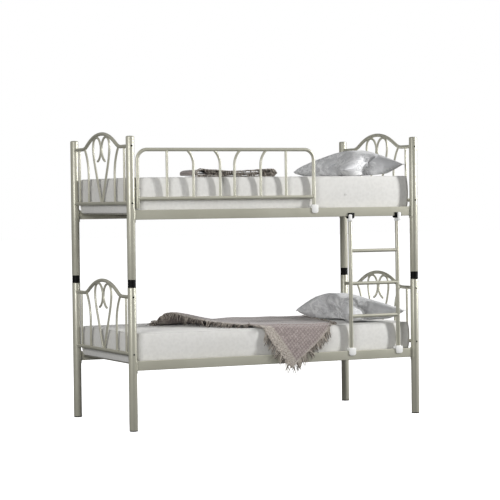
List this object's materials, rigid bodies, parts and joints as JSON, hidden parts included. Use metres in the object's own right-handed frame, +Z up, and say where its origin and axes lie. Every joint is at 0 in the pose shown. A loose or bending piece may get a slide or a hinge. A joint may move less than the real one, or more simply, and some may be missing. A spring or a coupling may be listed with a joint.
{
  "type": "bunk bed",
  "caption": "Metal bunk bed with round posts, arched scroll end panels, a guard rail, a hook-on ladder, mattresses, satin pillows and fringed throws.",
  "frame": {"origin": "on the floor, midway between the four posts", "axes": "+X along the bed towards the head end, -Y to the front where the ladder hangs, +Z up"},
  "size_m": [2.001, 0.9972, 1.8085],
  "materials": {
    "enamel": "glossy pale champagne powder coat",
    "black_plastic": "black moulded plastic",
    "white_plastic": "white moulded plastic",
    "zinc": "bright zinc plating",
    "wire": "champagne powder coat on steel wire",
    "ticking": "smooth ivory knitted cover",
    "satin": "silver-grey satin damask",
    "wool": "taupe basket-weave with a knotted fringe"
  },
  "bodies": {
    "lower_bed": {"foot_glide_front_left": "black_plastic", "foot_glide_front_right": "black_plastic", "foot_glide_back_left": "black_plastic", "foot_glide_back_right": "black_plastic", "lower_post_front_left": "enamel", "lower_post_front_right": "enamel", "lower_post_back_left": "enamel", "lower_post_back_right": "enamel", "post_coupling_front_left": "black_plastic", "post_coupling_front_right": "black_plastic", "post_coupling_back_left": "black_plastic", "post_coupling_back_right": "black_plastic", "lower_front_rail": "enamel", "lower_back_rail": "enamel", "lower_foot_panel": "enamel", "lower_head_panel": "enamel", "lower_wire_base_foot_half": "wire", "lower_wire_base_head_half": "wire"},
    "upper_bed": {"upper_post_front_left": "enamel", "upper_post_front_right": "enamel", "upper_post_back_left": "enamel", "upper_post_back_right": "enamel", "post_cap_front_left": "enamel", "post_cap_front_right": "enamel", "post_cap_back_left": "enamel", "post_cap_back_right": "enamel", "upper_front_rail": "enamel", "upper_back_rail": "enamel", "upper_foot_panel": "enamel", "upper_head_panel": "enamel", "upper_wire_base_foot_half": "wire", "upper_wire_base_head_half": "wire", "guard_rail": "enamel", "guard_rail_clip": "white_plastic", "guard_rail_spacer": "enamel", "guard_rail_bolt": "zinc"},
    "ladder": {"ladder_stile_left": "enamel", "ladder_stile_right": "enamel", "ladder_rung_1": "enamel", "ladder_rung_2": "enamel", "ladder_rung_3": "enamel", "ladder_foot_clip_left": "white_plastic", "ladder_foot_clip_right": "white_plastic", "ladder_hook_left": "black_plastic", "ladder_hook_right": "black_plastic", "ladder_collar_left": "white_plastic", "ladder_collar_right": "white_plastic"},
    "lower_bedding": {"lower_mattress": "ticking", "lower_pillow": "satin", "lower_throw": "wool"},
    "upper_bedding": {"upper_mattress": "ticking", "upper_pillow": "satin", "upper_throw": "wool"}
  },
  "joints": [
    {"name": "upper_bed_lift", "type": "slide", "parent": "lower_bed", "child": "upper_bed", "axis": [0, 0, 1], "range_m": [0, 0.045]},
    {"name": "ladder_slide", "type": "slide", "parent": "lower_bed", "child": "ladder", "axis": [1, 0, 0], "range_m": [-0.06, 0.04]},
    {"name": "lower_mattress_lift", "type": "slide", "parent": "lower_bed", "child": "lower_bedding", "axis": [0, 0, 1], "range_m": [0, 0.1]},
    {"name": "upper_mattress_lift", "type": "slide", "parent": "upper_bed", "child": "upper_bedding", "axis": [0, 0, 1], "range_m": [0, 0.1]}
  ]
}
